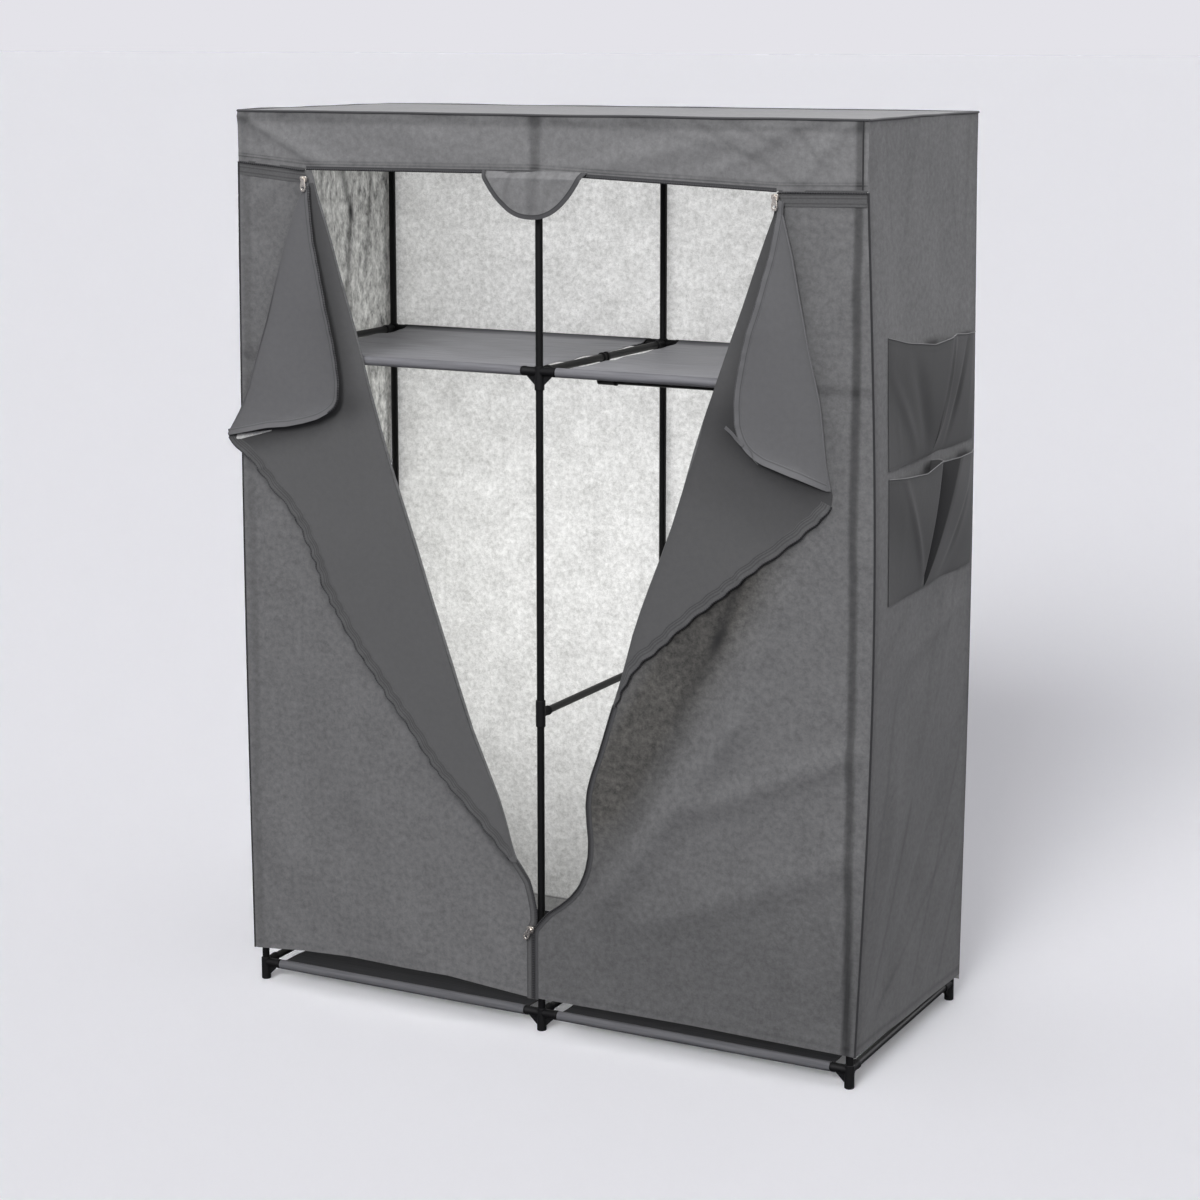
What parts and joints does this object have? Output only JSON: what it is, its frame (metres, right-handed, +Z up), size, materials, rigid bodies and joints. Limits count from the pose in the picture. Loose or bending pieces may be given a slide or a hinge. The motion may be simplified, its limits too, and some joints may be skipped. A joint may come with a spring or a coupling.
{
  "type": "portable fabric wardrobe",
  "caption": "Free-standing fabric wardrobe on a steel tube frame, with cloth shelves, a hanging rail, side pockets and zipped doors folded back.",
  "frame": {"origin": "middle of the footprint on the floor", "axes": "+X to the right seen from the front, +Y to the back, +Z up"},
  "size_m": [1.2546, 0.5114, 1.6],
  "materials": {
    "black_steel": "satin black powder coat",
    "black_plastic": "moulded, satin",
    "grey_nonwoven": "spunbond non-woven",
    "pale_nonwoven": "thin pale spunbond non-woven",
    "shelf_fabric": "coated woven",
    "nickel": "pale nickel plate"
  },
  "bodies": {
    "frame_and_cover": {"upright_front_left": "black_steel", "upright_front_centre": "black_steel", "upright_front_right": "black_steel", "upright_rear_left": "black_steel", "upright_rear_centre": "black_steel", "upright_rear_right": "black_steel", "base_connector_front_left": "black_plastic", "base_connector_front_centre": "black_plastic", "base_connector_front_right": "black_plastic", "base_connector_rear_left": "black_plastic", "base_connector_rear_centre": "black_plastic", "base_connector_rear_right": "black_plastic", "base_depth_tube_left": "black_steel", "base_depth_tube_centre": "black_steel", "base_depth_tube_right": "black_steel", "base_tube_front_left": "black_steel", "base_tube_front_right": "black_steel", "base_tube_rear_left": "black_steel", "base_tube_rear_right": "black_steel", "shelf_connector_front_left": "black_plastic", "shelf_connector_front_centre": "black_plastic", "shelf_connector_front_right": "black_plastic", "shelf_connector_rear_left": "black_plastic", "shelf_connector_rear_centre": "black_plastic", "shelf_connector_rear_right": "black_plastic", "shelf_depth_tube_left": "black_steel", "shelf_depth_tube_centre": "black_steel", "shelf_depth_tube_right": "black_steel", "shelf_tube_front_left": "black_steel", "shelf_tube_front_right": "black_steel", "shelf_tube_rear_left": "black_steel", "shelf_tube_rear_right": "black_steel", "middle_brace": "black_steel", "top_rail_front": "black_steel", "top_rail_rear": "black_steel", "top_depth_tube_left": "black_steel", "top_depth_tube_right": "black_steel", "lower_shelf_left": "shelf_fabric", "lower_shelf_right": "shelf_fabric", "upper_shelf_left": "shelf_fabric", "upper_shelf_right": "shelf_fabric", "roof_and_header": "grey_nonwoven", "side_panel_left": "grey_nonwoven", "side_panel_right": "grey_nonwoven", "back_panel": "pale_nonwoven", "front_panel_left": "grey_nonwoven", "front_panel_right": "grey_nonwoven", "side_pockets": "grey_nonwoven"},
    "door_left": {"door_left_flap": "grey_nonwoven"},
    "door_left_corner": {"door_left_corner": "grey_nonwoven"},
    "front_right_gather": {"front_right_gather": "grey_nonwoven"},
    "door_right": {"door_right_flap": "grey_nonwoven"},
    "door_right_corner": {"door_right_corner": "grey_nonwoven"},
    "header_slider_left": {"header_slider_left": "nickel"},
    "header_slider_right": {"header_slider_right": "nickel"},
    "door_slider": {"door_slider": "nickel"},
    "storm_flap": {"storm_flap": "grey_nonwoven"},
    "hanging_rail": {"hanging_rail": "black_steel", "rail_hook_left": "black_plastic", "rail_hook_right": "black_plastic"}
  },
  "joints": [
    {"name": "door_left_fold", "type": "hinge", "parent": "frame_and_cover", "child": "door_left", "pos_m": [-0.44965, -0.2485, 1.483], "axis": [-0.3256, 0, 0.9455], "range_deg": [0, 180]},
    {"name": "door_left_corner_fold", "type": "hinge", "parent": "door_left", "child": "door_left_corner", "pos_m": [-0.44965, -0.2503, 1.483], "axis": [-0.3469, 0, -0.9379], "range_deg": [0, 180]},
    {"name": "front_right_swing", "type": "hinge", "parent": "frame_and_cover", "child": "front_right_gather", "pos_m": [0.44635, -0.2485, 1.476], "axis": [0, 1, 0], "range_deg": [0, 10.4]},
    {"name": "door_right_fold", "type": "hinge", "parent": "front_right_gather", "child": "door_right", "pos_m": [0.44635, -0.2485, 1.476], "axis": [-0.3298, 0, -0.944], "range_deg": [0, 180]},
    {"name": "door_right_corner_fold", "type": "hinge", "parent": "door_right", "child": "door_right_corner", "pos_m": [0.44635, -0.2503, 1.476], "axis": [-0.2206, 0, 0.9754], "range_deg": [0, 180]},
    {"name": "header_zip_left", "type": "slide", "parent": "frame_and_cover", "child": "header_slider_left", "axis": [0.9997, 0, 0.0255], "range_m": [0, 0.43]},
    {"name": "header_zip_right", "type": "slide", "parent": "frame_and_cover", "child": "header_slider_right", "axis": [-0.9991, 0, 0.0428], "range_m": [0, 0.418]},
    {"name": "door_zip", "type": "slide", "parent": "frame_and_cover", "child": "door_slider", "axis": [0, 0, 1], "range_m": [0, 1.262]},
    {"name": "storm_flap_lift", "type": "hinge", "parent": "frame_and_cover", "child": "storm_flap", "pos_m": [0.00435, -0.2497, 1.5065], "axis": [-1, 0, 0], "range_deg": [0, 150]},
    {"name": "rail_slide", "type": "slide", "parent": "frame_and_cover", "child": "hanging_rail", "axis": [0, 1, 0], "range_m": [-0.19, 0.19]}
  ],
  "couplings": [
    {"joint": "door_left_corner_fold", "follows": "door_left_fold", "ratio": 1},
    {"joint": "header_zip_left", "follows": "door_left_fold", "m_per_rad": 0.13687},
    {"joint": "door_zip", "follows": "door_left_fold", "m_per_rad": 0.4017},
    {"joint": "front_right_swing", "follows": "door_right_fold", "ratio": 0.057778},
    {"joint": "door_right_corner_fold", "follows": "door_right_fold", "ratio": 1},
    {"joint": "header_zip_right", "follows": "door_right_fold", "m_per_rad": 0.13305}
  ]
}
